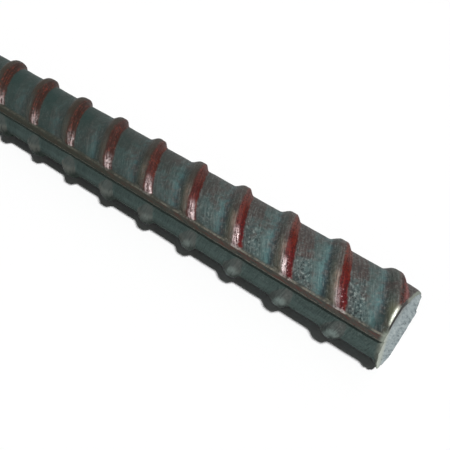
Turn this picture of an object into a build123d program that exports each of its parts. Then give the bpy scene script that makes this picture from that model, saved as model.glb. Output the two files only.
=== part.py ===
from build123d import *
from math import radians, tan
import os

# One straight hot-rolled reinforcing bar for concrete, of the 25 mm class.
# The bar lies along X, with +Z up and the origin on its axis at mid-length.
# Its rolled section is a round core with two seam ribs, opposite each other, where
# the two grooved rolls met. Both ends are sheared square to the axis, with softened edges.

# Driving dimensions, in millimetres and degrees
BAR_LENGTH = 600.0
CORE_DIAMETER = 24.0
SEAM_RIB_HEIGHT = 1.5
SEAM_RIB_CREST_WIDTH = 1.8
SEAM_RIB_FLANK_ANGLE = 64.0
SEAM_RIB_ROOT_FILLET = 0.7
SEAM_RIB_CREST_ROUND = 0.4
# How round the shear left the edges of the two ends. It stays below the round of the crests.
END_EDGE_ROUND = 0.3
# How far the front seam rib stands above the level of the axis, as the bar lies
FRONT_SEAM_RIB_RISE = 31.0

# Sizes that follow from the driving dimensions
CORE_RADIUS = CORE_DIAMETER / 2
SEAM_RIB_CREST_RADIUS = CORE_RADIUS + SEAM_RIB_HEIGHT
# Each rib's wedge starts its own height inside the core, so that the two overlap
SEAM_RIB_SEAT_RADIUS = CORE_RADIUS - SEAM_RIB_HEIGHT
FRONT_SEAM_RIB_ANGLE = 180.0 - FRONT_SEAM_RIB_RISE
BACK_SEAM_RIB_ANGLE = -FRONT_SEAM_RIB_RISE


def seam_rib_wedge(angle):
    """The flat-topped section of one seam rib, turned to its angle on the core."""
    crest_half = SEAM_RIB_CREST_WIDTH / 2
    flank_run = (SEAM_RIB_CREST_RADIUS - SEAM_RIB_SEAT_RADIUS) / tan(radians(SEAM_RIB_FLANK_ANGLE))
    seat_half = crest_half + flank_run
    wedge = Polygon(
        (SEAM_RIB_SEAT_RADIUS, -seat_half),
        (SEAM_RIB_CREST_RADIUS, -crest_half),
        (SEAM_RIB_CREST_RADIUS, crest_half),
        (SEAM_RIB_SEAT_RADIUS, seat_half),
        align=None,
    )
    return Rot(0, 0, angle) * wedge


def is_root(corner):
    """True for a corner where a seam rib's flank meets the round core."""
    return Vector(corner).length < CORE_RADIUS + SEAM_RIB_HEIGHT / 2


def is_crest(corner):
    """True for a corner at the top of a seam rib."""
    return not is_root(corner)


def rolled_section():
    """The bar's section: round core, two seam ribs, filleted roots and softened crests."""
    section = Circle(CORE_RADIUS)
    for angle in (FRONT_SEAM_RIB_ANGLE, BACK_SEAM_RIB_ANGLE):
        section += seam_rib_wedge(angle)
    section = fillet(section.vertices().filter_by(is_crest), SEAM_RIB_CREST_ROUND)
    return fillet(section.vertices().filter_by(is_root), SEAM_RIB_ROOT_FILLET)


def reinforcing_bar():
    """The section drawn along X, half to each side of the origin, with the edges of its ends rounded."""
    bar = extrude(Plane.YZ * rolled_section(), amount=BAR_LENGTH / 2, both=True)
    end_faces = bar.faces().filter_by(Axis.X)
    return fillet(end_faces.edges(), END_EDGE_ROUND)


os.makedirs("parts", exist_ok=True)
export_step(reinforcing_bar(), "parts/reinforcing_bar.step")
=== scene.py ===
import math
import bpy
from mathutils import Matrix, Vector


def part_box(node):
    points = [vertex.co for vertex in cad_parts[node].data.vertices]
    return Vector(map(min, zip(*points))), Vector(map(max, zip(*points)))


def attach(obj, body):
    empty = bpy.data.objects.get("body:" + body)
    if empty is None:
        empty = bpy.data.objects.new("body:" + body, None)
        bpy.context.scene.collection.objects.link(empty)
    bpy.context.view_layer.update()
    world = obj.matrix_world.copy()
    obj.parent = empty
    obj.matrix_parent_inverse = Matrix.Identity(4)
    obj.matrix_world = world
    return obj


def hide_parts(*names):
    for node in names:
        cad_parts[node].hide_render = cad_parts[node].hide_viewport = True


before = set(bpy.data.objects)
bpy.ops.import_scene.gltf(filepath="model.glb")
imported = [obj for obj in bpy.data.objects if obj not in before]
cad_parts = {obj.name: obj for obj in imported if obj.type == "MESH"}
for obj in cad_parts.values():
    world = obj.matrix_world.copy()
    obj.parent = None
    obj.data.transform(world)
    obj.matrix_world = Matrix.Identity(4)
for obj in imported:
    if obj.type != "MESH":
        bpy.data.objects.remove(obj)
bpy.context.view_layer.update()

from types import SimpleNamespace

import bmesh
import bpy
import numpy as np
from mathutils import Vector

# The bar, in metres. Its length and core come from the frame.
NODE = "reinforcing_bar"
_, NODE_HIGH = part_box(NODE)
HALF_LENGTH = NODE_HIGH.x
CORE_RADIUS = NODE_HIGH.z
FULL_TURN = 2 * math.pi
MILLIMETRE = 0.001
# The near end is at +X and the far end at -X
SIDES = (1.0, -1.0)

# Seam ribs: the front one is at this angle from +Y towards +Z, and the back one opposite it
SEAM_ANGLE = math.radians(149.0)
SEAM_HEIGHT = 0.0015
SEAM_CREST_HALF = 0.0009
SEAM_RUN = 0.0007
SEAM_DISH = 0.00008
SEAM_FILLET = 0.0003

# Rolled ribs: an upper and a lower row, with lines that lean opposite ways.
# A lean is the distance along the bar for each radian, as a share of the core's radius.
RIB_PITCH = 0.01824
RIB_HEIGHT = 0.00187
RIB_CREST_HALF = 0.0009
RIB_FAR_RUN = 0.0038
RIB_NEAR_RUN = 0.0025
RIB_JITTER = 0.00008
RIB_HEIGHT_SPREAD_SHARE = 0.03
UPPER_LEAN_SHARE = 0.50
LOWER_LEAN_SHARE = 0.34
NEAR_RIB_AT_SEAM = 0.0038
LOWER_ROW_SHIFT = 0.0030
# The lower row's ribs start at this distance from the seam, in a round tip, and take this run
# to reach their full height
LOWER_START = 0.0012
LOWER_RUN = 0.0065
LOWER_TIP_SHARE = 0.25
LOWER_TIP_LEAST = 0.001
# Draws are made for each rib of the two rows, and for some past the ends
ROW_COUNT = 2
SPARE_RIBS = 12
RIB_HEIGHT_SEED = 11
RIB_JITTER_SEED = 12

# Uneven rolled surface
SWELL_HEIGHT = 0.000025
SWELL_SHORTEST = 0.004
SWELL_LONGEST = 0.016
CHATTER_HEIGHT = 0.00003
CHATTER_SHORTEST = 0.0015
CHATTER_LONGEST = 0.004
WAVE_COUNT = 28
CHATTER_SEED = 21
SWELL_SEED = 22

# Sheared ends: the blade came down on the side at this angle
BLADE_ANGLE = math.radians(85.0)
BLADE_SPREAD = 0.2
RIM_ROUND = 0.0003
BLADE_ROUND = 0.0010
BLADE_SAG = 0.0006
BLADE_SAG_REACH = 0.0105
BURR_HEIGHT = 0.00042
BURR_REACH = 0.0008
BURR_MEAN_SHARE = 0.6
BURR_MOST_SHARE = 2.0
RAGGED_SHORTEST = 0.0018
RAGGED_LONGEST = 0.0060
RAGGED_SEED = 23
# A cut face leans: it stands out by this much on the side away from the lean's angle
FACE_LEAN = 0.00075
LEAN_ANGLE = math.radians(125.0)
LEAN_REACH = 0.0040
FACE_RELIEF = 0.00006
FACE_TORN_SHARE = 0.5
FACE_TORN_SEED = 31
FACE_DISH = 0.00025

# Samples of the mesh
RIB_SAMPLES = 16
VALLEY_SAMPLES = 7
SEAM_SAMPLES = 17
SIDE_SAMPLES = 42
SEAM_ZONE = 0.0030
END_LOOPS = (0.00008, 0.0002, 0.0004, 0.0007, 0.0011, 0.0017, 0.0026, 0.0040)
CAP_RING_SHARES = (0.985, 0.955, 0.90, 0.80, 0.66, 0.50, 0.33, 0.16)
SHARP_ANGLE = math.radians(38.0)


# Shape

def smooth(value):
    """0 below 0, 1 above 1 and an even S between."""
    value = np.clip(value, 0.0, 1.0)
    return value * value * (3.0 - 2.0 * value)


def soft_maximum(first, second, width):
    """The larger of two heights, with a fillet of about that width where they cross."""
    share = np.clip(0.5 + 0.5 * (first - second) / width, 0.0, 1.0)
    return second + (first - second) * share + width * share * (1.0 - share)


def random_waves(points, seed, shortest, longest):
    """A smooth seeded field of about unit size, from plane waves of mixed length and direction."""
    random = np.random.default_rng(seed)
    field = np.zeros(len(points))
    for _ in range(WAVE_COUNT):
        direction = random.normal(size=3)
        direction /= np.linalg.norm(direction)
        length = shortest * (longest / shortest) ** random.random()
        start = random.uniform(0.0, FULL_TURN)
        field += np.sin(points @ direction * FULL_TURN / length + start)
    return field * math.sqrt(2.0 / WAVE_COUNT)


def turn_of(angle):
    """How far an angle is from the front seam: 0 to pi over the upper row, 0 to -pi over the lower."""
    return (SEAM_ANGLE - angle + math.pi) % FULL_TURN - math.pi


def row_line(turn):
    """How far along the bar a rib's line has moved, by the angle from the front seam."""
    upper = -UPPER_LEAN_SHARE * CORE_RADIUS * np.abs(turn)
    lower = -LOWER_LEAN_SHARE * CORE_RADIUS * np.abs(turn) + LOWER_ROW_SHIFT
    # The lines change over on the flat crests of the two seam ribs
    crest_angle = SEAM_CREST_HALF / CORE_RADIUS
    past_front = smooth(0.5 - 0.5 * turn / crest_angle)
    past_back = smooth(0.5 - 0.5 * (math.pi - np.abs(turn)) / crest_angle * np.sign(turn))
    lower_share = np.where(np.abs(turn) < math.pi / 2, past_front, past_back)
    return upper + (lower - upper) * lower_share


def along_rib_lines(x, turn):
    """Place along the bar, followed along a rib's line to the front seam, from the near rib's crest."""
    return x - row_line(turn) - HALF_LENGTH - NEAR_RIB_AT_SEAM


def rib_offset(along):
    """Distance from the middle of the nearest rib's crest, positive towards the near end."""
    centre = 0.5 * (RIB_NEAR_RUN - RIB_FAR_RUN)
    return (along - centre + 0.5 * RIB_PITCH) % RIB_PITCH - 0.5 * RIB_PITCH + centre


def rib_profile(offset):
    """Share of a rib's height: a long rise on the far side, a flat crest and a steep near side."""
    rise = smooth((offset + RIB_CREST_HALF + RIB_FAR_RUN) / RIB_FAR_RUN)
    fall = smooth((RIB_CREST_HALF + RIB_NEAR_RUN - offset) / RIB_NEAR_RUN)
    return rise * fall


def rib_spread(number, turn, seed):
    """A seeded number of about unit size for each rib of each row."""
    random = np.random.default_rng(seed)
    ribs = 2 * int(HALF_LENGTH / RIB_PITCH) + SPARE_RIBS
    spread = random.uniform(-1.0, 1.0, size=(ROW_COUNT, ribs))
    row = (turn < 0).astype(int)
    return spread[row, number % ribs]


def relief(x, turn):
    """Height of the ribs and the seam ribs over the core."""
    from_seam = np.minimum(np.abs(turn), math.pi - np.abs(turn)) * CORE_RADIUS
    seam_share = smooth((SEAM_CREST_HALF + SEAM_RUN - from_seam) / SEAM_RUN)
    seam = SEAM_HEIGHT * seam_share - SEAM_DISH * smooth(1.0 - from_seam / SEAM_CREST_HALF)
    along = along_rib_lines(x, turn)
    offset = rib_offset(along)
    number = np.round((along - offset) / RIB_PITCH).astype(int)
    height = RIB_HEIGHT * (1.0 + RIB_HEIGHT_SPREAD_SHARE * rib_spread(number, turn, RIB_HEIGHT_SEED))
    # A rib comes down to the level of the seam's crest where it runs into it
    away = smooth((from_seam - SEAM_CREST_HALF) / (2 * SEAM_RUN))
    profile = rib_profile(offset + RIB_JITTER * rib_spread(number, turn, RIB_JITTER_SEED))
    run_out = 1.0 - smooth((from_seam - LOWER_START) / LOWER_RUN)
    tip = soft_maximum(profile - run_out, 0.0, LOWER_TIP_SHARE * run_out + LOWER_TIP_LEAST)
    profile = np.where(turn < 0, tip, profile)
    rib = profile * (SEAM_HEIGHT + (height - SEAM_HEIGHT) * away)
    return soft_maximum(seam, rib, SEAM_FILLET * away)


def blade_share(angle):
    """How much an end's edge was drawn down by the blade: 1 where it came down, 0 on the far side."""
    return smooth((np.cos(angle - BLADE_ANGLE) + BLADE_SPREAD) / (1.0 + BLADE_SPREAD))


def sheared_edge(x, angle, ragged):
    """How far an end's edge is drawn in by the shear, less the burr that it left underneath."""
    depth = HALF_LENGTH - np.abs(x)
    blade = blade_share(angle)
    rim = RIM_ROUND + BLADE_ROUND * blade
    into_rim = np.clip(rim - depth, 0.0, rim)
    drawn = rim - np.sqrt(rim ** 2 - into_rim ** 2)
    sag = BLADE_SAG * blade * np.clip(1.0 - depth / BLADE_SAG_REACH, 0.0, 1.0) ** 2
    burr = BURR_HEIGHT * (1.0 - blade) * np.clip(1.0 - depth / BURR_REACH, 0.0, 1.0)
    return drawn + sag - burr * np.clip(BURR_MEAN_SHARE + ragged, 0.0, BURR_MOST_SHARE)


def leaning(y, z):
    """How far a cut face stands out at a place on it."""
    toward = (y * math.cos(LEAN_ANGLE) + z * math.sin(LEAN_ANGLE)) / CORE_RADIUS
    return FACE_LEAN * 0.5 * (1.0 - np.clip(toward, -1.0, 1.0))


# Mesh

def turn_samples():
    """Angles from the front seam, close together on the two seam ribs."""
    zone = SEAM_ZONE / CORE_RADIUS
    front = np.linspace(-zone, zone, SEAM_SAMPLES)
    upper = np.linspace(zone, math.pi - zone, SIDE_SAMPLES + 2)[1:-1]
    return np.concatenate([front, upper, front + math.pi, upper + math.pi])


def axial_samples():
    """Places along a rib's line, close together on each rib, that reach past both ends of the bar."""
    rib = np.linspace(-RIB_CREST_HALF - RIB_FAR_RUN, RIB_CREST_HALF + RIB_NEAR_RUN, RIB_SAMPLES)
    valley = np.linspace(rib[-1], rib[0] + RIB_PITCH, VALLEY_SAMPLES + 2)[1:-1]
    one_pitch = np.concatenate([rib, valley])
    reach = math.pi * max(UPPER_LEAN_SHARE, LOWER_LEAN_SHARE) * CORE_RADIUS + 2 * RIB_PITCH
    first = -math.ceil((2 * HALF_LENGTH + 2 * RIB_PITCH) / RIB_PITCH)
    last = math.ceil(reach / RIB_PITCH)
    start = HALF_LENGTH + NEAR_RIB_AT_SEAM
    return np.concatenate([start + number * RIB_PITCH + one_pitch for number in range(first, last)])


def core_skin():
    """A grid on the bare core whose rows follow the rib lines, cut square at both ends, as a bmesh."""
    turns = (turn_samples() + math.pi) % FULL_TURN - math.pi
    x = axial_samples()[:, None] + row_line(turns)[None, :]
    angle = np.broadcast_to(SEAM_ANGLE - turns, x.shape)
    points = np.stack([x, CORE_RADIUS * np.cos(angle), CORE_RADIUS * np.sin(angle)], -1)
    index = np.arange(x.size).reshape(x.shape)
    near, far = index[1:, :], index[:-1, :]
    faces = np.stack([far, near, np.roll(near, -1, 1), np.roll(far, -1, 1)], -1)
    grid = bpy.data.meshes.new("grid")
    grid.from_pydata(points.reshape(-1, 3).tolist(), [], faces.reshape(-1, 4).tolist())
    skin = bmesh.new()
    skin.from_mesh(grid)
    bpy.data.meshes.remove(grid)
    for side in SIDES:
        cut_across(skin, side, 0.0)
        for depth in END_LOOPS:
            cut_across(skin, side, depth)
    bmesh.ops.recalc_face_normals(skin, faces=skin.faces[:])
    return skin


def cut_across(skin, side, depth):
    """Cuts the skin at a depth from one end. At depth 0 what lies past the cut goes."""
    reach = HALF_LENGTH - depth - 2 * RIB_PITCH
    faces = [face for face in skin.faces if side * face.calc_center_median().x > reach]
    edges = {edge for face in faces for edge in face.edges}
    corners = {corner for face in faces for corner in face.verts}
    bmesh.ops.bisect_plane(
        skin,
        geom=faces + list(edges) + list(corners),
        plane_co=(side * (HALF_LENGTH - depth), 0, 0),
        plane_no=(side, 0, 0),
        clear_outer=depth == 0.0,
    )


def rims(skin):
    """The corners round each end, in the order of their angle."""
    found = {side: [] for side in SIDES}
    skin.verts.index_update()
    for corner in skin.verts:
        if corner.is_boundary:
            found[math.copysign(1.0, corner.co.x)].append(corner)
    for side, corners in found.items():
        corners.sort(key=lambda corner: math.atan2(corner.co.z, corner.co.y))
        found[side] = [corner.index for corner in corners]
    return found


def cap(points, rim, side):
    """Points and faces of one cut face: rings drawn in from the rim to a middle point."""
    rim_places = points[rim]
    rings = [rim_places * (1.0, share, share) for share in CAP_RING_SHARES]
    middle = np.array([[side * HALF_LENGTH, 0.0, 0.0]])
    added = np.concatenate(rings + [middle])
    from_axis = np.hypot(added[:, 1], added[:, 2]) / CORE_RADIUS
    added[:, 0] = side * (HALF_LENGTH + leaning(added[:, 1], added[:, 2]))
    added[:, 0] -= side * FACE_DISH * (1.0 - np.clip(from_axis, 0.0, 1.0) ** 2)
    torn = random_waves(added, FACE_TORN_SEED, CHATTER_SHORTEST, CHATTER_LONGEST)
    added[:, 0] -= side * FACE_RELIEF * (1.0 + FACE_TORN_SHARE * torn)
    count = len(rim)
    loops = [np.array(rim)]
    loops += [len(points) + ring * count + np.arange(count) for ring in range(len(rings))]
    faces = []
    for outer, inner in zip(loops, loops[1:]):
        around = np.stack([outer, np.roll(outer, -1), np.roll(inner, -1), inner], -1)
        faces += around.tolist()
    last = loops[-1]
    hub = len(points) + len(added) - 1
    faces += [[one, other, hub] for one, other in zip(last.tolist(), np.roll(last, -1).tolist())]
    if side < 0:
        faces = [face[::-1] for face in faces]
    return added, faces


def rolled_skin(core, angle, turn):
    """The skin's points, moved off the core by ribs, seam ribs and sheared ends, and the ribs' height."""
    x = core[:, 0]
    chatter = random_waves(core, CHATTER_SEED, CHATTER_SHORTEST, CHATTER_LONGEST)
    height = relief(x, turn)
    ragged = random_waves(core, RAGGED_SEED, RAGGED_SHORTEST, RAGGED_LONGEST)
    radius = CORE_RADIUS + height - sheared_edge(x, angle, ragged)
    radius += SWELL_HEIGHT * random_waves(core, SWELL_SEED, SWELL_SHORTEST, SWELL_LONGEST)
    radius += CHATTER_HEIGHT * chatter * height / RIB_HEIGHT
    y, z = radius * np.cos(angle), radius * np.sin(angle)
    into_end = smooth(1.0 - (HALF_LENGTH - np.abs(x)) / LEAN_REACH)
    return np.stack([x + np.sign(x) * leaning(y, z) * into_end, y, z], -1), height


def bar_mesh():
    """The whole bar: its skin and its two cut faces."""
    skin = core_skin()
    rim_of = rims(skin)
    core = np.array([corner.co for corner in skin.verts])
    faces = [[corner.index for corner in face.verts] for face in skin.faces]
    skin.free()
    angle = np.arctan2(core[:, 2], core[:, 1])
    turn = turn_of(angle)
    points, height = rolled_skin(core, angle, turn)
    skin_faces = len(faces)
    for side, rim in rim_of.items():
        added, cap_faces = cap(points, rim, side)
        points = np.concatenate([points, added])
        faces += cap_faces
    mesh = bpy.data.meshes.new("rebar")
    mesh.from_pydata(points.tolist(), [], faces)
    mesh.polygons.foreach_set("material_index", [int(face >= skin_faces) for face in range(len(faces))])
    mesh.polygons.foreach_set("use_smooth", [True] * len(faces))
    keep_fields(mesh, core[:, 0], turn, height)
    lay_out(mesh, skin_faces)
    mesh.set_sharp_from_angle(angle=SHARP_ANGLE)
    mesh.update()
    return mesh


def keep_fields(mesh, x, turn, height):
    """Stores on each point where it lies across its rib, from its seam and from its end, for the finish."""
    skin_points = len(x)
    along = along_rib_lines(x, turn)
    phase = FULL_TURN * rib_offset(along) / RIB_PITCH
    wave = np.zeros((len(mesh.vertices), 3))
    wave[:skin_points] = np.stack([np.sin(phase), np.cos(phase), along], -1)
    by_front_seam = np.abs(turn) < math.pi / 2
    from_seam = np.where(by_front_seam, turn, np.sign(turn) * (math.pi - np.abs(turn))) * CORE_RADIUS
    place = np.zeros((len(mesh.vertices), 3))
    place[:skin_points] = np.stack([from_seam, HALF_LENGTH - np.abs(x), turn], -1)
    lift = np.zeros((len(mesh.vertices), 3))
    lift[:skin_points, 0] = height / RIB_HEIGHT
    for name, values in (("rib_wave", wave), ("bar_place", place), ("rib_lift", lift)):
        layer = mesh.attributes.new(name, "FLOAT_VECTOR", "POINT")
        layer.data.foreach_set("vector", values.ravel())


# The bake map is a square of 3 by 3 cells: eight lengths of the skin, and both cut faces in the last one
MAP_NAME = "OFBake"
MAP_CELLS = 3
SKIN_LENGTHS = MAP_CELLS ** 2 - 1
CELL = 1.0 / MAP_CELLS
CELL_MARGIN = 0.016 * CELL
CUT_FACE_REACH = 0.0155


def cell_corner(number):
    """The lower left corner of one cell of the bake map."""
    return (number % MAP_CELLS) * CELL, (number // MAP_CELLS) * CELL


def lay_out(mesh, skin_faces):
    """Gives each face its place on the bake map, with the skin unrolled and the cut faces laid flat."""
    points = np.empty(3 * len(mesh.vertices))
    mesh.vertices.foreach_get("co", points)
    points = points.reshape(-1, 3)
    corners = np.empty(len(mesh.loops), int)
    mesh.loops.foreach_get("vertex_index", corners)
    sizes = np.empty(len(mesh.polygons), int)
    mesh.polygons.foreach_get("loop_total", sizes)
    face = np.repeat(np.arange(len(sizes)), sizes)
    places = points[corners]
    centres = np.stack([np.bincount(face, places[:, axis]) / sizes for axis in range(3)], -1)
    # The skin, where a face that crosses the start of the turn stays whole on its centre's side
    length = 2 * HALF_LENGTH / SKIN_LENGTHS
    part = np.clip((centres[:, 0] + HALF_LENGTH) // length, 0, SKIN_LENGTHS - 1)[face]
    middle = np.arctan2(centres[:, 2], centres[:, 1])[face]
    angle = np.arctan2(places[:, 2], places[:, 1])
    around = middle + (angle - middle + math.pi) % FULL_TURN - math.pi
    room = CELL - 2 * CELL_MARGIN
    left, low = cell_corner(part)
    u = left + CELL_MARGIN + room * ((places[:, 0] + HALF_LENGTH) / length - part)
    v = low + CELL_MARGIN + room * (around / FULL_TURN + 0.5)
    # The cut faces, side by side
    on_cut = face >= skin_faces
    left, low = cell_corner(SKIN_LENGTHS)
    half = CELL / 2
    flat = half * (0.5 + 0.5 * places / CUT_FACE_REACH)
    u = np.where(on_cut, left + flat[:, 1] + half * (places[:, 0] < 0), u)
    v = np.where(on_cut, low + flat[:, 2], v)
    layer = mesh.uv_layers.new(name=MAP_NAME)
    layer.uv.foreach_set("vector", np.stack([u, v], -1).ravel())


# Finish

def paint(red, green, blue):
    """The linear colour of an sRGB one, given as 0 to 255."""
    shares = np.array([red, green, blue]) / 255.0
    linear = np.where(shares < 0.04045, shares / 12.92, ((shares + 0.055) / 1.055) ** 2.4)
    return (*linear.tolist(), 1.0)


class Nodes:
    """Short calls that add shader nodes to one material or world and return their output sockets."""

    # Sockets of the mix node go by number, because their names repeat
    MIX_SHARE = 0
    MIX_VALUES = (2, 3)
    MIX_VALUE_OUT = 0
    MIX_COLOURS = (6, 7)
    MIX_COLOUR_OUT = 2

    def __init__(self, owner, shader="Principled BSDF"):
        owner.use_nodes = True
        self.tree = owner.node_tree
        self.shader = self.tree.nodes[shader]

    def add(self, kind, inputs, **settings):
        """A new node with these inputs and settings."""
        node = self.tree.nodes.new(kind)
        for name, value in settings.items():
            setattr(node, name, value)
        for name, value in inputs.items():
            self.feed(node.inputs[name], value)
        return node

    def feed(self, socket, value):
        """Links an output to an input, or sets the input to a plain value."""
        if isinstance(value, bpy.types.NodeSocket):
            self.tree.links.new(value, socket)
        else:
            socket.default_value = value

    def set(self, name, value):
        """Feeds one input of the shader."""
        self.feed(self.shader.inputs[name], value)

    def math(self, operation, first, second=0.0, third=0.0):
        """One step of arithmetic."""
        inputs = {0: first, 1: second, 2: third}
        return self.add("ShaderNodeMath", inputs, operation=operation).outputs[0]

    def plus(self, base, value, factor=1.0):
        """The base, plus a value times a factor."""
        return self.math("MULTIPLY_ADD", value, factor, base)

    def product(self, *values):
        """All the values multiplied."""
        result = values[0]
        for value in values[1:]:
            result = self.math("MULTIPLY", result, value)
        return result

    def total(self, *terms):
        """The sum of values that are each given with a weight."""
        (value, weight), *others = terms
        result = self.product(value, weight)
        for value, weight in others:
            result = self.plus(result, value, weight)
        return result

    def rise(self, value, start, end):
        """0 before start, 1 after end and smooth between. Start may be the larger."""
        inputs = {"Value": value, "From Min": start, "From Max": end}
        node = self.add("ShaderNodeMapRange", inputs, interpolation_type="SMOOTHSTEP")
        return node.outputs["Result"]

    def band(self, value, start, full, fade, end):
        """1 from full to fade, and 0 outside start and end."""
        return self.product(self.rise(value, start, full), self.rise(value, end, fade))

    def lay(self, below, above, *shares):
        """One colour laid over another, as thick as the product of the shares."""
        inputs = {self.MIX_SHARE: self.product(*shares), **dict(zip(self.MIX_COLOURS, (below, above)))}
        return self.add("ShaderNodeMix", inputs, data_type="RGBA").outputs[self.MIX_COLOUR_OUT]

    def between(self, first, second, share):
        """A number between two others."""
        inputs = {self.MIX_SHARE: share, **dict(zip(self.MIX_VALUES, (first, second)))}
        return self.add("ShaderNodeMix", inputs, data_type="FLOAT").outputs[self.MIX_VALUE_OUT]

    def noise(self, vector, scale, detail, rough):
        """Noise about 0.5, with its scale per unit of the vector."""
        inputs = {"Vector": vector, "Scale": scale, "Detail": detail, "Roughness": rough}
        return self.add("ShaderNodeTexNoise", inputs).outputs["Fac"]

    def stretched(self, x, y, z, scales):
        """Noise drawn out along the directions with the small scales."""
        places = [self.product(value, scale) for value, scale in zip((x, y, z), scales)]
        return self.noise(self.join(*places), *STRETCHED_NOISE)

    def ramp(self, value, stops):
        """A colour read off a row of stops."""
        node = self.add("ShaderNodeValToRGB", {"Fac": value})
        elements = node.color_ramp.elements
        while len(elements) < len(stops):
            elements.new(1.0)
        for element, (place, colour) in zip(elements, stops):
            element.position = place
            element.color = colour
        return node.outputs["Color"]

    def split(self, vector):
        """The three numbers of a vector."""
        return self.add("ShaderNodeSeparateXYZ", {"Vector": vector}).outputs

    def join(self, x, y, z):
        """A vector of three numbers."""
        return self.add("ShaderNodeCombineXYZ", {"X": x, "Y": y, "Z": z}).outputs["Vector"]

    def attribute(self, name):
        """The three numbers that the mesh stores under a name."""
        node = self.add("ShaderNodeAttribute", {}, attribute_name=name)
        return self.split(node.outputs["Vector"])

    def place(self):
        """The place on the bar, in metres."""
        return self.add("ShaderNodeTexCoord", {}).outputs["Object"]

    def roughen(self, height, strength, depth):
        """Gives the shader a fine relief of that depth."""
        bump = self.add("ShaderNodeBump", {"Height": height, "Strength": strength, "Distance": depth})
        self.set("Normal", bump.outputs["Normal"])


# Noises, each with its scale, detail and roughness
SHARED_NOISES = {
    "broad": (110.0, 3.0, 0.55),
    "medium": (420.0, 4.0, 0.6),
    "small": (1100.0, 3.0, 0.6),
    "fine": (2400.0, 3.0, 0.6),
    "grain": (1350.0, 2.0, 0.5),
}
SEAM_NOISE = (1.3, 4.0, 0.65)
SEAM_NOISE_ALONG = 220.0
CUT_SMALL_NOISE = (1300.0, 4.0, 0.65)
CUT_FINE_NOISE = (2600.0, 3.0, 0.6)
STRETCHED_NOISE = (1.0, 3.0, 0.55)
# Scales of the stretched noises along three directions: lines drawn along the ribs, streaks along
# the bar, and lines and tears that the blade left on a cut face
RIB_LINES = (2600.0, 260.0, 260.0)
BAR_STREAKS = (70.0, 700.0, 700.0)
CUT_LINES = (1.0, 1500.0, 220.0)
CUT_TEARS = (1.0, 800.0, 150.0)

# Relief, gloss and metal of the two finishes
SCALE_RELIEF_DEPTH = 0.00014
SCALE_RELIEF_STRENGTH = 0.8
SCALE_SPECULAR = 0.1
LOWER_ROUGHNESS = 0.70
UPPER_ROUGHNESS = 0.45
ROUGHNESS_SPREAD = 0.25
BARE_ROUGHNESS_CHANGE = -0.27
WORN_METALLIC = 0.75
BRIGHT_METALLIC = 0.8
CUT_RELIEF_DEPTH = 0.0002
CUT_RELIEF_STRENGTH = 0.7
CUT_SPECULAR = 0.3
CUT_METALLIC = 0.2
CUT_ROUGHNESS = 0.42
CUT_ROUGHNESS_SPREAD = 0.25

# Colours of the mill scale across one pitch, from the middle of the valley on the far side
# of a rib, over its far slope and crest, to the middle of the valley on its near side
UPPER_STOPS = (
    (0.00, paint(82, 99, 97)),
    # The light teal here is partly the scale's colour and partly a painted sheen
    (0.08, paint(88, 115, 114)),
    (0.16, paint(84, 117, 118)),
    (0.20, paint(62, 85, 89)),
    (0.235, paint(42, 55, 58)),
    (0.27, paint(46, 55, 54)),
    (0.31, paint(74, 78, 70)),
    (0.37, paint(118, 114, 100)),
    (0.42, paint(135, 126, 113)),
    (0.455, paint(102, 86, 78)),
    (0.63, paint(64, 60, 57)),
    (0.66, paint(70, 74, 73)),
    (0.75, paint(80, 93, 92)),
    (0.88, paint(84, 102, 101)),
    (1.00, paint(82, 99, 97)),
)
# Scale on both rows
PALE_SCALE = paint(150, 162, 158)
DARK_TEAL = paint(38, 48, 49)
WARM_GREY = paint(76, 57, 54)
COOL_GREY = paint(66, 74, 72)
FAR_SCALE = paint(38, 53, 50)
# Slopes and crests of the upper ribs
FAR_TAN = paint(92, 70, 52)
# A painted tan sheen beside the crests
TAN_SHEEN = paint(158, 128, 114)
CREST_BROWN = paint(80, 58, 50)
END_GREY = paint(70, 77, 72)
FAR_SLOPE = paint(50, 42, 34)
# Near white on the worn crests: bare metal with a painted highlight
WORN_HIGHLIGHT = paint(232, 217, 217)
# Lower row
LOWER_SCALE = paint(98, 119, 115)
LOWER_RING = paint(76, 91, 88)
LOWER_LIGHT = paint(122, 147, 141)
LOWER_CREST = paint(83, 88, 85)
LOWER_GREY = paint(124, 126, 119)
# A painted highlight at the lower ribs' tips
LOWER_HIGHLIGHT = paint(168, 188, 182)
LOWER_SHADE = paint(38, 49, 46)
UNDER_SEAM = paint(60, 73, 69)
UNDERSIDE = paint(44, 56, 48)
# Rust
RED_RUST = paint(88, 18, 23)
UPPER_RUST = paint(86, 25, 17)
TOP_RUST = paint(98, 64, 58)
BROWN_RUST = paint(48, 31, 24)
ORANGE_RUST = paint(120, 50, 34)
DARK_RUST = paint(48, 22, 20)
END_RUST = paint(98, 62, 60)
END_BROWN = paint(66, 58, 55)
END_PINK = paint(142, 98, 96)
# Seam rib
SEAM_BROWN = paint(68, 66, 60)
SEAM_RED = paint(84, 52, 47)
# A painted highlight along the seam rib's edges
SEAM_EDGE_HIGHLIGHT = paint(124, 121, 110)
SEAM_FLANK = paint(80, 91, 85)
FAR_SEAM = paint(43, 46, 38)
# Sheared edge
# Burnished steel with a painted glint
BURNISH_GLINT_STEEL = paint(198, 201, 188)
OLIVE_STEEL = paint(108, 111, 88)
ROOT_DARK = paint(38, 56, 54)
RIM_STEEL = paint(128, 134, 124)
RIM_DARK = paint(58, 58, 56)
# Cut face, from dark to pale
CUT_STOPS = (
    (0.30, paint(80, 93, 97)),
    (0.43, paint(126, 140, 143)),
    (0.54, paint(150, 163, 165)),
    (0.66, paint(188, 196, 194)),
)
CUT_PIT = paint(46, 56, 60)
CUT_TOP = paint(95, 100, 95)
CUT_PALE = paint(176, 182, 169)

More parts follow.
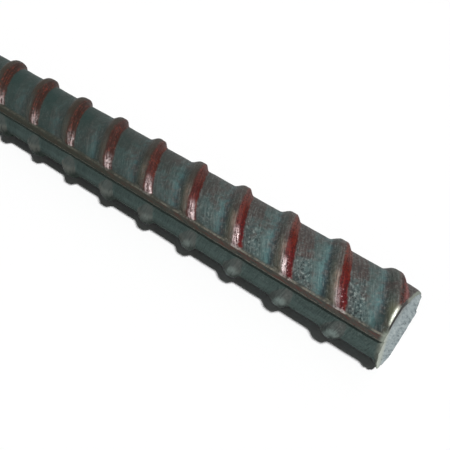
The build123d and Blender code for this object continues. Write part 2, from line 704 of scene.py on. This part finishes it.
# Places of the layers. A pair is where a layer starts and where it is full. A row of four is where it
# starts, is full, fades and has ended. The limits of a noise, and how thick a layer is, stand in
# the functions that lay the layers.
# Round the bar, in radians from the front seam, positive over the upper row
UPPER_ROW_TURN = (-0.06, 0.06)
HIDDEN_TURN = (-1.1, -1.7)
TOP_TURN = (0.95, 1.55)
LOWER_LIT_TURN = (-0.98, -0.74, -0.58, -0.42)
# Where the painted highlight at the lower ribs' tips lies
LOWER_HIGHLIGHT_TURN = (-1.15, -0.9, -0.60, -0.38)
LOWER_SHADE_TURN = (-1.35, -1.0, -0.84, -0.62)
UNDERSIDE_TURN = (-0.50, -0.78)
FRINGE_TURN = (0.6, 1.0)
SHEEN_TURN = (0.36, 0.52, 0.66, 0.86)
HIGH_SLOPE_TURN = (0.6, 0.95)
GRAINS_TURN = (1.35, 0.75)
UPPER_RUST_TURN = (0.5, 1.0)
TOP_RUST_TURN = (0.95, 1.3)
# Where round the bar the crests are worn and carry the painted highlight
WORN_HIGHLIGHT_TURN = (0.14, 0.36, 0.50, 0.76)
SPECKS_TURN = (0.0, 0.1, 0.4, 0.6)
END_RUST_TURN = (0.5, 0.9, 1.0, 1.3)
ROOT_TURN = (0.06, 0.16, 0.36, 0.64)
OLIVE_TURN = (0.10, 0.25, 0.6, 0.9)
LOWER_FRONT_TURN = (-1.0, -0.7, 0.1, 0.3)
GLINT_TURN = (0.22, 0.40, 0.58, 0.88)
DARK_LIP_TURN = (0.12, 0.3, 1.0, 1.2)
# Across a rib, in millimetres from its crest, positive towards the near end
PITTED_ACROSS = (2.6, 3.6, 7.5, 9.1)
LOWER_HIGHLIGHT_ACROSS = (-2.7, -1.4, 0.2, 3.4)
LOWER_SHADE_ACROSS = (-0.5, 0.6, 2.0, 3.2)
VALLEY_ACROSS = (4.5, 7.0)
SLOPE_FOOT_ACROSS = (-2.0, -4.0)
SLOPE_ACROSS = (-4.2, -3.0, -0.9, -0.1)
TAN_ACROSS = (-3.2, -1.8, 0.4, 1.0)
FRINGE_ACROSS = (-2.2, -1.0, 0.2, 0.8)
SHEEN_ACROSS = (-2.2, -1.1, -0.2, 0.5)
HIGH_SLOPE_ACROSS = (-3.4, -1.6, 0.4, 1.0)
NEAR_RUST_STARTS_ACROSS = (-0.9, -0.2)
FAR_RUST_STARTS_ACROSS = (-1.6, 0.3)
RUST_ENDS_ACROSS = (2.6, 1.9)
END_RUST_ACROSS = (0.6, 1.5)
END_PINK_ACROSS = (1.5, 1.9, 2.2, 2.7)
WORN_HIGHLIGHT_ACROSS = (-1.3, -0.3, 0.6, 1.4)
SPECKS_ACROSS = (-0.2, 0.4, 1.4, 2.2)
# Where a rib's painted highlight runs on into the seam's edge
RUBBED_HIGHLIGHT_ACROSS = (-2.2, -1.2, 1.2, 3.0)
PAST_RIB_ACROSS = (2.0, 3.6)
DRAWN_DOWN_ACROSS = (-4.0, -1.8, 0.0, 0.8)
# Up a rib, as shares of its height
LOWER_RING_SHARES = (0.0, 0.03, 0.08, 0.16)
LOWER_RIB_SHARES = (0.05, 0.20)
# From the middle of a seam rib's crest, in millimetres, positive over the upper row
UNDER_SEAM_REACH = (-5.8, -3.4)
ON_SEAM_REACH = (2.0, 1.3)
SEAM_MIDDLE_REACH = (0.8, 0.4)
SEAM_EDGE_REACH = (0.55, 0.8, 0.95, 1.25)
# The seam's painted highlight where a rib's crest runs into it
RUBBED_HIGHLIGHT_REACH = (0.5, 0.8, 1.1, 1.6)
SEAM_FLANK_REACH = (-2.8, -2.2, -1.4, -1.0)
# From an end, in millimetres. The rim is wider on the lower front.
END_GREY_DEPTH = (13.0, 8.0)
PALE_RUST_DEPTH = (9.0, 5.0)
END_RUST_DEPTH = (7.0, 4.0)
ROOT_DEPTH = (2.6, 3.6, 5.0, 6.4)
OLIVE_DEPTH = (1.4, 2.2, 3.6, 5.0)
BRIGHT_DEPTH = (0.4, 1.0, 1.4, 2.4)
DARK_LIP_DEPTH = (0.6, 0.3)
RIM_START = 1.0
RIM_START_FRONT = 2.1
RIM_FULL = 0.6
# Along the bar, in metres from the near rib's crest, negative towards the far end
AWAY_ALONG = (0.01, -0.12)
EVENED_ALONG = (-0.16, -0.27)
GRAINS_ALONG = (-0.05, 0.01)
RED_RUST_ALONG = (-0.11, -0.01)
# The crests' wear and painted highlight move down the near flank away from the near end
WEAR_HIGHLIGHT_SHIFT_ALONG = (-0.03, -0.08)
WEAR_HIGHLIGHT_AMOUNT_ALONG = (-0.010, -0.036)
SPECKS_ALONG = (-0.06, -0.03)
# On a cut face, as shares of the core's radius
CUT_FRONT_SHARES = (0.68, 0.98)
CUT_TOP_SHARE = 0.4
CUT_PITTED_SHARES = (0.3, -0.8)


def rolled_fields(net):
    """What the layers of the rolled finish know of a spot on the bar.

    offset is the distance in millimetres from a rib's crest, positive towards the near end, and uneven
    is the same with ragged edges. seam and end are millimetres from a seam rib's crest and from an end,
    pitch is in millimetres, along is metres from the near rib's crest, and turn is radians from the
    front seam. lift is the share of a rib's height. The others are noises, or shares from 0 to 1.
    """
    place = net.place()
    sine, cosine, along = net.attribute("rib_wave")
    from_seam, from_end, turn = net.attribute("bar_place")
    pitch = RIB_PITCH / MILLIMETRE
    spot = SimpleNamespace(along=along, turn=turn, pitch=pitch)
    spot.seam = net.math("DIVIDE", from_seam, MILLIMETRE)
    spot.end = net.math("DIVIDE", from_end, MILLIMETRE)
    for name, noise in SHARED_NOISES.items():
        setattr(spot, name, net.noise(place, *noise))
    x, y, z = net.split(place)
    spot.drawn = net.stretched(along, y, z, RIB_LINES)
    spot.lengthwise = net.stretched(x, y, z, BAR_STREAKS)
    spot.upper_row = net.rise(turn, *UPPER_ROW_TURN)
    spot.hidden = net.rise(net.plus(turn, spot.broad, 0.5), *HIDDEN_TURN)
    spot.top = net.rise(net.plus(turn, spot.medium, 0.8), *TOP_TURN)
    spot.offset = net.product(net.math("ARCTAN2", sine, cosine), pitch / FULL_TURN)
    unevenness = net.total((spot.small, 0.8), (spot.medium, 1.2))
    spot.uneven = net.plus(spot.offset, net.math("SUBTRACT", unevenness, 1.0))
    spot.pitted = net.band(spot.offset, *PITTED_ACROSS)
    spot.lift, _, _ = net.attribute("rib_lift")
    # The scale darkens away from the near end, and evens out along the rest of the bar
    away = net.rise(net.plus(along, spot.broad, 0.05), *AWAY_ALONG)
    evened = net.product(net.rise(net.plus(along, spot.broad, 0.1), *EVENED_ALONG), 0.5)
    spot.away = net.math("SUBTRACT", away, evened)
    return spot


def lower_colour(net, spot):
    """The lower row: teal scale, and grey ribs that end in a round tip with a painted highlight in an arch.
    """
    colour = net.lay(LOWER_RING, LOWER_SCALE, net.rise(spot.lengthwise, 0.40, 0.62))
    lit = net.band(spot.turn, *LOWER_LIT_TURN)
    colour = net.lay(colour, LOWER_LIGHT, lit, 0.55)
    colour = net.lay(colour, UNDER_SEAM, net.rise(spot.seam, *UNDER_SEAM_REACH))
    # A darker ring round the foot of each rib, and the grey rib
    lift = net.plus(spot.lift, net.math("SUBTRACT", spot.small, 0.5), 0.12)
    colour = net.lay(colour, LOWER_RING, net.band(lift, *LOWER_RING_SHARES), 0.6)
    on_rib = net.rise(lift, *LOWER_RIB_SHARES)
    colour = net.lay(colour, LOWER_CREST, on_rib, 0.9)
    colour = net.lay(colour, LOWER_GREY, on_rib, lit, spot.away, 0.8)
    # The painted highlight in an arch at its tip, fainter away from the near end
    across = net.plus(spot.uneven, spot.away, -1.6)
    arch = net.plus(spot.turn, net.product(across, across), 0.035)
    pale = net.product(net.band(across, *LOWER_HIGHLIGHT_ACROSS), net.band(arch, *LOWER_HIGHLIGHT_TURN))
    pale = net.product(pale, net.plus(0.25, spot.small), net.plus(0.82, spot.away, -0.8))
    colour = net.lay(colour, LOWER_HIGHLIGHT, pale)
    # Shade on its near side and under the bar
    shade = net.product(net.band(spot.uneven, *LOWER_SHADE_ACROSS), net.band(spot.turn, *LOWER_SHADE_TURN))
    colour = net.lay(colour, LOWER_SHADE, shade, net.plus(0.9, spot.away, -1.1))
    under = net.rise(net.plus(spot.turn, spot.medium, 0.3), *UNDERSIDE_TURN)
    return net.lay(colour, UNDERSIDE, under, net.plus(0.10, spot.away, 0.85))


def upper_colour(net, spot):
    """The upper row: scale that changes across the pitch, with edges that wander in the valleys."""
    wander = net.plus(-2.0, spot.broad, 4.0)
    valley = net.rise(net.math("ABSOLUTE", spot.offset), *VALLEY_ACROSS)
    wandering = net.plus(spot.uneven, wander, valley)
    share = net.plus(0.5, wandering, 1.0 / spot.pitch)
    # The dark foot of a far slope draws nearer to the crest towards the top
    lean = net.math("SUBTRACT", 0.6, spot.turn)
    leaning_foot = net.product(lean, net.rise(spot.offset, *SLOPE_FOOT_ACROSS))
    return net.ramp(net.plus(share, leaning_foot, 1.8 / spot.pitch), UPPER_STOPS)


def slope_layers(net, spot, colour):
    """Tan far slopes that turn grey towards the top of the bar, and brown away from the near end, with a
    painted tan sheen by the crest.
    """
    slope = net.product(net.band(spot.offset, *SLOPE_ACROSS), spot.upper_row)
    tan = net.product(net.band(spot.offset, *TAN_ACROSS), spot.away, spot.upper_row)
    colour = net.lay(colour, FAR_TAN, tan, 0.9)
    colour = net.lay(colour, COOL_GREY, slope, spot.top, 0.85)
    fringe = net.product(net.band(spot.uneven, *FRINGE_ACROSS), net.rise(spot.turn, *FRINGE_TURN))
    colour = net.lay(colour, CREST_BROWN, fringe, spot.upper_row, 0.7)
    # A painted tan sheen on the far edge of the crest, fainter away from the near end
    tan_sheen = net.product(net.band(spot.uneven, *SHEEN_ACROSS), net.band(spot.turn, *SHEEN_TURN))
    tan_sheen = net.product(tan_sheen, net.rise(spot.drawn, 0.3, 0.6), net.math("SUBTRACT", 0.75, spot.away))
    colour = net.lay(colour, TAN_SHEEN, tan_sheen)
    return net.lay(colour, END_GREY, slope, net.rise(spot.end, *END_GREY_DEPTH), 0.75)


def patch_layers(net, spot, colour):
    """Brown patches, most of them on the near side of a rib and high up, drawn lines and mottles."""
    patch = net.total(
        (spot.broad, 0.7),
        (spot.medium, 0.5),
        (net.product(spot.pitted, spot.top), 0.28),
        (spot.top, 0.10),
        (spot.away, 0.14),
        (spot.small, 0.36),
    )
    patched = net.product(net.rise(patch, 0.72, 1.12), net.math("MAXIMUM", spot.upper_row, spot.hidden))
    colour = net.lay(colour, WARM_GREY, patched, 0.9)
    pale = net.plus(0.08, spot.upper_row, 0.18)
    colour = net.lay(colour, PALE_SCALE, net.rise(spot.drawn, 0.50, 0.70), pale)
    colour = net.lay(colour, DARK_TEAL, net.rise(spot.drawn, 0.48, 0.30), 0.55)
    colour = net.lay(colour, PALE_SCALE, net.rise(spot.small, 0.52, 0.70), spot.upper_row, 0.20)
    return net.lay(colour, DARK_TEAL, net.rise(spot.small, 0.47, 0.30), spot.upper_row, 0.45)


def far_layers(net, spot, colour):
    """Darker scale towards the top and away from the near end, with brown far slopes high up there."""
    colour = net.lay(colour, COOL_GREY, spot.top, 0.24)
    far = net.plus(net.plus(0.3, spot.upper_row, 0.4), spot.pitted, 0.18)
    colour = net.lay(colour, FAR_SCALE, spot.away, net.plus(far, spot.top, 0.15))
    high = net.rise(spot.turn, *HIGH_SLOPE_TURN)
    slope = net.product(net.band(spot.offset, *HIGH_SLOPE_ACROSS), high)
    return net.lay(colour, FAR_SLOPE, slope, spot.away, spot.upper_row, 0.95)


def scale_colour(net, spot):
    """The mill scale of both rows, without grains, rust and wear."""
    colour = net.lay(lower_colour(net, spot), upper_colour(net, spot), spot.upper_row)
    colour = slope_layers(net, spot, colour)
    colour = patch_layers(net, spot, colour)
    return far_layers(net, spot, colour)


def grain_layers(net, spot):
    """Dark and pale grains, most of them in patches on the near side of the ribs close to the end."""
    low = net.rise(net.plus(spot.turn, spot.broad, 0.6), *GRAINS_TURN)
    near = net.rise(net.plus(spot.along, spot.broad, 0.08), *GRAINS_ALONG)
    patch = net.product(spot.pitted, low, spot.upper_row, net.rise(spot.medium, 0.3, 0.55))
    many = net.product(net.plus(0.2, patch, 0.8), net.plus(0.1, near, 0.9))
    dark = net.product(net.rise(spot.grain, 0.46, 0.34), many)
    pale = net.product(net.rise(spot.grain, 0.56, 0.68), many)
    return dark, pale


def rust_colour(net, spot):
    """Rust that is redder towards the near end, with orange specks, dark pits and a paler end."""
    near = net.rise(net.plus(spot.along, spot.broad, 0.04), *RED_RUST_ALONG)
    colour = net.lay(RED_RUST, UPPER_RUST, net.rise(spot.turn, *UPPER_RUST_TURN))
    colour = net.lay(colour, TOP_RUST, net.rise(spot.turn, *TOP_RUST_TURN), net.plus(1.0, spot.away, -1.3))
    colour = net.lay(BROWN_RUST, colour, near)
    at_end = net.rise(spot.end, *PALE_RUST_DEPTH)
    colour = net.lay(colour, net.lay(END_BROWN, END_RUST, net.rise(spot.uneven, *END_RUST_ACROSS)), at_end)
    colour = net.lay(colour, END_PINK, at_end, net.band(spot.uneven, *END_PINK_ACROSS), 0.7)
    specks = net.total((spot.small, 0.5), (spot.drawn, 0.5))
    colour = net.lay(colour, ORANGE_RUST, net.rise(specks, 0.50, 0.64), 0.5)
    pits = net.total((spot.grain, 0.3), (spot.fine, 0.35), (spot.drawn, 0.35))
    return net.lay(colour, DARK_RUST, net.rise(pits, 0.53, 0.43), net.plus(0.85, spot.away, -0.45))


def rust_cover(net, spot):
    """Where rust covers the ribs: their crests and near flanks, and only faintly on the lower row."""
    # Towards the top of the bar and away from the near end the rust keeps to the near flank
    across = net.plus(net.plus(spot.uneven, spot.away, -0.6), spot.turn, -0.5)
    starts = zip(NEAR_RUST_STARTS_ACROSS, FAR_RUST_STARTS_ACROSS)
    start, full = [net.plus(near, spot.away, far - near) for near, far in starts]
    flank = net.product(net.rise(across, start, full), net.rise(across, *RUST_ENDS_ACROSS))
    row = net.plus(net.plus(0.06, spot.upper_row, 0.93), spot.hidden, 0.45)
    return net.product(flank, row)


def crest_wear_and_highlight(net, spot):
    """Bare metal rubbed through the rust on the crests, with a painted highlight on it, most of it beside
    the front seam.
    """
    # Away from the near end the wear and its painted highlight lie further down the near flank and are
    # fainter
    across = net.plus(net.plus(spot.uneven, 0.3), net.rise(spot.along, *WEAR_HIGHLIGHT_SHIFT_ALONG), -1.2)
    crest = net.band(net.plus(across, spot.away, -0.8), *WORN_HIGHLIGHT_ACROSS)
    height = net.plus(net.plus(spot.turn, spot.away, 0.10), spot.broad, 0.3)
    rubbed_highlight = net.band(height, *WORN_HIGHLIGHT_TURN)
    amount = net.plus(0.16, net.rise(spot.along, *WEAR_HIGHLIGHT_AMOUNT_ALONG), 0.66)
    amount = net.product(net.plus(0.04, rubbed_highlight, 0.96), net.plus(amount, spot.away, -0.62))
    # It is broken up by grains close by, and by drawn lines further off
    grains = net.rise(net.total((spot.medium, 0.25), (spot.drawn, 0.5), (spot.fine, 0.5)), 0.50, 0.68)
    streaks = net.rise(net.total((spot.grain, 0.35), (spot.drawn, 0.65)), 0.40, 0.60)
    wear_and_highlight = net.product(crest, amount, net.between(grains, net.product(streaks, 1.6), spot.away))
    # Close to the near end the rust beside the worn crest shows specks of wear with a painted highlight
    dots = net.rise(net.total((spot.grain, 0.5), (spot.fine, 0.5)), 0.53, 0.63)
    beside = net.product(net.band(spot.uneven, *SPECKS_ACROSS), net.band(spot.turn, *SPECKS_TURN))
    beside = net.product(beside, dots, net.rise(spot.along, *SPECKS_ALONG), 0.3)
    return net.product(net.math("MAXIMUM", wear_and_highlight, beside), spot.upper_row)


def seam_layers(net, spot, colour):
    """The seam rib: brown with a red middle, a painted highlight along each edge and a grey lower flank."""
    from_crest = net.math("ABSOLUTE", spot.seam)
    below = net.plus(0.4, spot.upper_row, -0.4)
    on_seam = net.rise(net.plus(net.plus(from_crest, spot.medium, 0.8), below), *ON_SEAM_REACH)
    colour = net.lay(colour, SEAM_BROWN, on_seam, 0.85)
    drawn_out = net.join(net.product(spot.along, SEAM_NOISE_ALONG), spot.seam, spot.turn)
    streak = net.noise(drawn_out, *SEAM_NOISE)
    middle = net.rise(from_crest, *SEAM_MIDDLE_REACH)
    colour = net.lay(colour, SEAM_RED, middle, net.rise(streak, 0.46, 0.6), 0.7)
    colour = net.lay(colour, DARK_TEAL, on_seam, net.rise(streak, 0.48, 0.32), 0.6)
    # A painted highlight along each edge
    edge = net.band(from_crest, *SEAM_EDGE_REACH)
    edge = net.product(edge, net.rise(spot.small, 0.32, 0.6), net.rise(spot.medium, 0.34, 0.55))
    colour = net.lay(colour, SEAM_EDGE_HIGHLIGHT, edge, 0.9)
    # Where a rib's crest runs into the seam's upper edge, that edge is rubbed and carries a painted
    # highlight
    foot_of_rib = net.band(spot.offset, *RUBBED_HIGHLIGHT_ACROSS)
    rubbed_highlight = net.product(net.band(spot.seam, *RUBBED_HIGHLIGHT_REACH), foot_of_rib)
    near = net.plus(0.4, spot.away, -0.4)
    colour = net.lay(colour, WORN_HIGHLIGHT, rubbed_highlight, net.rise(spot.small, 0.38, 0.62), near)
    colour = net.lay(colour, FAR_SEAM, on_seam, spot.away, 0.85)
    flank = net.band(spot.seam, *SEAM_FLANK_REACH)
    return net.lay(colour, SEAM_FLANK, flank, net.plus(0.4, spot.away, 0.6))


def end_rust(net, spot):
    """Rust between the near rib and the cut."""
    ragged = net.plus(spot.end, spot.medium, 1.2)
    past_rib = net.rise(spot.offset, *PAST_RIB_ACROSS)
    high = net.band(spot.turn, *END_RUST_TURN)
    return net.product(net.rise(ragged, *END_RUST_DEPTH), past_rib, high, 0.75)


def end_layers(net, spot, colour):
    """Steel that the blade drew down with the near rib, and the rim of the cut. Also where it is burnished,
    with a painted glint.
    """
    ragged = net.plus(spot.end, spot.medium, 1.2)
    root = net.product(net.band(ragged, *ROOT_DEPTH), net.band(spot.turn, *ROOT_TURN))
    colour = net.lay(colour, ROOT_DARK, root, 0.6)
    drawn_down = net.band(spot.offset, *DRAWN_DOWN_ACROSS)
    olive = net.product(net.band(ragged, *OLIVE_DEPTH), drawn_down)
    colour = net.lay(colour, OLIVE_STEEL, olive, net.band(spot.turn, *OLIVE_TURN), 0.75)
    lower_front = net.band(spot.turn, *LOWER_FRONT_TURN)
    rim_start = net.plus(RIM_START, lower_front, RIM_START_FRONT - RIM_START)
    rim = net.rise(net.plus(spot.end, spot.small, 0.8), rim_start, RIM_FULL)
    colour = net.lay(colour, RIM_STEEL, rim)
    # Burnished steel where the near rib was cut, with a painted glint in a band round the bar
    glint_turn_band = net.band(spot.turn, *GLINT_TURN)
    burnish_and_glint = net.product(net.band(ragged, *BRIGHT_DEPTH), drawn_down, glint_turn_band)
    colour = net.lay(colour, BURNISH_GLINT_STEEL, burnish_and_glint)
    dark_lip = net.product(net.rise(spot.end, *DARK_LIP_DEPTH), net.band(spot.turn, *DARK_LIP_TURN))
    return net.lay(colour, RIM_DARK, dark_lip), burnish_and_glint


def rolled_finish():
    """Mill scale with red rust on the ribs, worn crests, a brown seam and a sheared edge, with painted
    highlights, sheen and a glint.
    """
    material = bpy.data.materials.new("mill_scale")
    net = Nodes(material)
    spot = rolled_fields(net)
    colour = scale_colour(net, spot)
    dark, pale = grain_layers(net, spot)
    colour = net.lay(colour, DARK_TEAL, dark, 0.85)
    colour = net.lay(colour, PALE_SCALE, pale, 0.65)
    rusty = net.math("MAXIMUM", rust_cover(net, spot), end_rust(net, spot))
    colour = net.lay(colour, rust_colour(net, spot), rusty)
    # Worn crests with a painted highlight on them
    worn_and_highlight = crest_wear_and_highlight(net, spot)
    colour = net.lay(colour, WORN_HIGHLIGHT, worn_and_highlight, 0.85)
    colour = seam_layers(net, spot, colour)
    colour, burnish_and_glint = end_layers(net, spot, colour)
    net.set("Base Color", colour)
    metal = net.math("MAXIMUM", net.product(worn_and_highlight, WORN_METALLIC), net.product(burnish_and_glint, BRIGHT_METALLIC))
    net.set("Metallic", metal)
    rough = net.plus(LOWER_ROUGHNESS, spot.upper_row, UPPER_ROUGHNESS - LOWER_ROUGHNESS)
    rough = net.plus(rough, spot.medium, ROUGHNESS_SPREAD)
    net.set("Roughness", net.plus(rough, net.math("MAXIMUM", worn_and_highlight, burnish_and_glint), BARE_ROUGHNESS_CHANGE))
    net.set("Specular IOR Level", SCALE_SPECULAR)
    # Fine relief: lines drawn along the ribs, grains and pits
    height = net.total((spot.drawn, 0.5), (spot.small, 0.8), (spot.fine, 0.4), (dark, -0.8))
    net.roughen(height, SCALE_RELIEF_STRENGTH, SCALE_RELIEF_DEPTH)
    return material


def cut_finish():
    """Sheared steel: pale grey, with pits and lines drawn the way the blade went."""
    material = bpy.data.materials.new("cut_steel")
    net = Nodes(material)
    place = net.place()
    x, y, z = net.split(place)
    # Places along and across the way of the blade
    along = net.total((z, math.sin(LEAN_ANGLE)), (y, math.cos(LEAN_ANGLE)))
    across = net.total((z, -math.cos(LEAN_ANGLE)), (y, math.sin(LEAN_ANGLE)))
    drawn = net.stretched(x, across, along, CUT_LINES)
    torn = net.stretched(x, across, along, CUT_TEARS)
    small = net.noise(place, *CUT_SMALL_NOISE)
    fine = net.noise(place, *CUT_FINE_NOISE)
    colour = net.ramp(net.total((small, 0.35), (drawn, 0.4), (torn, 0.25)), CUT_STOPS)
    # The front edge is paler and the top darker, and the side where the blade came out is pitted
    front = net.plus(net.math("DIVIDE", y, -CORE_RADIUS), small, 0.3)
    colour = net.lay(colour, CUT_PALE, net.rise(front, *CUT_FRONT_SHARES), 0.9)
    colour = net.lay(colour, CUT_TOP, net.rise(z, CUT_TOP_SHARE * CORE_RADIUS, CORE_RADIUS), 0.7)
    pitted = net.plus(0.3, net.rise(net.math("DIVIDE", along, CORE_RADIUS), *CUT_PITTED_SHARES), 0.7)
    pits = net.product(net.rise(net.total((fine, 0.4), (drawn, 0.6)), 0.45, 0.36), pitted)
    colour = net.lay(colour, CUT_PIT, pits, 0.85)
    net.set("Base Color", colour)
    net.set("Roughness", net.plus(CUT_ROUGHNESS, small, CUT_ROUGHNESS_SPREAD))
    net.set("Metallic", CUT_METALLIC)
    net.set("Specular IOR Level", CUT_SPECULAR)
    height = net.plus(net.plus(torn, drawn, 0.6), small, 0.5)
    net.roughen(net.math("SUBTRACT", height, pits), CUT_RELIEF_STRENGTH, CUT_RELIEF_DEPTH)
    return material


def build_bar():
    """The one visible piece, which stands for the bar of the frame."""
    bar = add_object("rebar", bar_mesh())
    bar.data.materials.append(rolled_finish())
    bar.data.materials.append(cut_finish())
    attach(bar, "root")
    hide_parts(NODE)
    return bar


# Camera, floor and light

CAMERA_AZIMUTH = math.radians(38.08)
CAMERA_ELEVATION = math.radians(48.94)
# From the middle of the near end, in core radii
CAMERA_FROM_END = Vector((2.185, -9.535, 13.827))
CAMERA_CLIP_START = 0.01
FRAME_PIXELS = 450.0
FOCAL_PIXELS = 680.0
SENSOR_WIDTH = 36.0

FLOOR_SIZE = 8.0
FLOOR_WHITE = (0.96, 0.96, 0.96, 1.0)
FLOOR_BOUNCE = (0.45, 0.45, 0.45, 1.0)

KEY_STRENGTH = 3.39
KEY_WIDTH = math.radians(5.0)
KEY_DIRECTION = Vector((-0.45, 0.23, -1.0))
STRIP_LENGTH = 0.8
STRIP_HEIGHT = 0.12
STRIP_POWER = 1.5
STRIP_FROM_END = Vector((-0.42, -0.48, 0.33))
ROOM_WHITE = (1.0, 1.0, 1.0, 1.0)
ROOM_STRENGTH = 0.085
BACKGROUND_STRENGTH = 1.0

NEAR_END = Vector((HALF_LENGTH, 0, 0))


def add_object(name, data):
    """A new object in the scene."""
    made = bpy.data.objects.new(name, data)
    bpy.context.scene.collection.objects.link(made)
    return made


def point(thing, direction):
    """Turns a camera or a lamp to face along a direction."""
    thing.rotation_mode = "QUATERNION"
    thing.rotation_quaternion = direction.to_track_quat("-Z", "Y")


def build_camera():
    """The photo's view: from the front, past the near end and above."""
    data = bpy.data.cameras.new("camera")
    data.sensor_width = SENSOR_WIDTH
    data.lens = SENSOR_WIDTH * FOCAL_PIXELS / FRAME_PIXELS
    data.clip_start = CAMERA_CLIP_START
    camera = add_object("camera", data)
    camera.location = NEAR_END + CORE_RADIUS * CAMERA_FROM_END
    level = math.cos(CAMERA_ELEVATION)
    back = Vector((math.sin(CAMERA_AZIMUTH) * level, -math.cos(CAMERA_AZIMUTH) * level,
                   math.sin(CAMERA_ELEVATION)))
    point(camera, -back)
    bpy.context.scene.camera = camera


def shown(net):
    """1 where a surface or the room is seen, straight or in metal or glass, and 0 where it gives light."""
    path = net.add("ShaderNodeLightPath", {}).outputs
    seen = net.math("MAXIMUM", path["Is Camera Ray"], path["Is Glossy Ray"])
    return net.math("MAXIMUM", seen, path["Is Transmission Ray"])


def build_floor(level):
    """A white floor that throws back little light, so that the bar's underside stays dark."""
    bpy.ops.mesh.primitive_plane_add(size=FLOOR_SIZE, location=(0, 0, level))
    floor = bpy.context.object
    floor.name = "floor"
    material = bpy.data.materials.new("white_floor")
    net = Nodes(material)
    net.set("Base Color", net.lay(FLOOR_BOUNCE, FLOOR_WHITE, shown(net)))
    net.set("Roughness", 1.0)
    net.set("Specular IOR Level", 0.0)
    floor.data.materials.append(material)


def build_key():
    """The main light, from above and past the near end."""
    lamp = bpy.data.lights.new("key", "SUN")
    lamp.energy = KEY_STRENGTH
    lamp.angle = KEY_WIDTH
    point(add_object("key", lamp), KEY_DIRECTION)


def build_strip():
    """A long low light in front that only shows as a gloss, on the crests of the ribs."""
    lamp = bpy.data.lights.new("strip", "AREA")
    lamp.shape = "RECTANGLE"
    lamp.size = STRIP_LENGTH
    lamp.size_y = STRIP_HEIGHT
    lamp.energy = STRIP_POWER
    strip = add_object("strip", lamp)
    strip.visible_diffuse = False
    strip.location = NEAR_END + STRIP_FROM_END
    point(strip, Vector((0, -STRIP_FROM_END.y, -STRIP_FROM_END.z)))


def build_room():
    """A dim white room that shows as a white background."""
    world = bpy.data.worlds.new("world")
    bpy.context.scene.world = world
    net = Nodes(world, "Background")
    net.set("Color", ROOM_WHITE)
    net.set("Strength", net.between(ROOM_STRENGTH, BACKGROUND_STRENGTH, shown(net)))


bar = build_bar()
build_camera()
build_floor(min(corner.co.z for corner in bar.data.vertices))
build_key()
build_strip()
build_room()
bpy.context.scene.view_settings.view_transform = "Standard"

bpy.context.view_layer.update()
